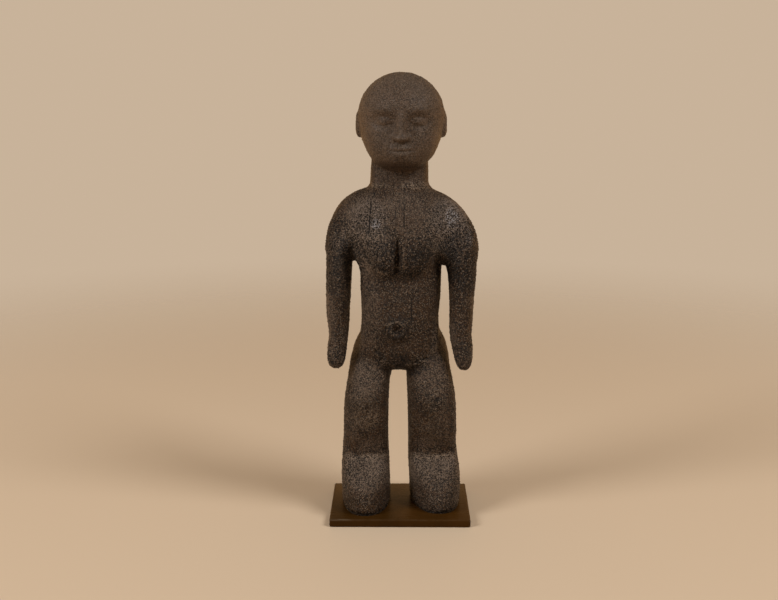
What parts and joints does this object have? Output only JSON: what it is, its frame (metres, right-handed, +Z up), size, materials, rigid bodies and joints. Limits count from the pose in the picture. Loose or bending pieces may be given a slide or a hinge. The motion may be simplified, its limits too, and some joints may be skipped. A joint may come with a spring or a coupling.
{
  "type": "female statuette",
  "caption": "Standing female figure carved in dark wood, arms hanging free of the body, on a thin rectangular base plate; a decorative sculpture for a shelf.",
  "frame": {"origin": "middle of the base plate's underside, at the bottom centre of the whole object", "axes": "+Z up, the figure faces -Y, and +X is to the right of a viewer who faces it"},
  "size_m": [0.151, 0.1, 0.442],
  "materials": {
    "carved_wood": "dark, old hardwood with a dry, granular crust in the hollows and a dull shine where it is rubbed",
    "plate_lacquer": "satin brown-black lacquer on a metal plate, worn paler along one front edge"
  },
  "bodies": {
    "root": {"figure": "carved_wood", "base_plate": "plate_lacquer"}
  },
  "joints": []
}
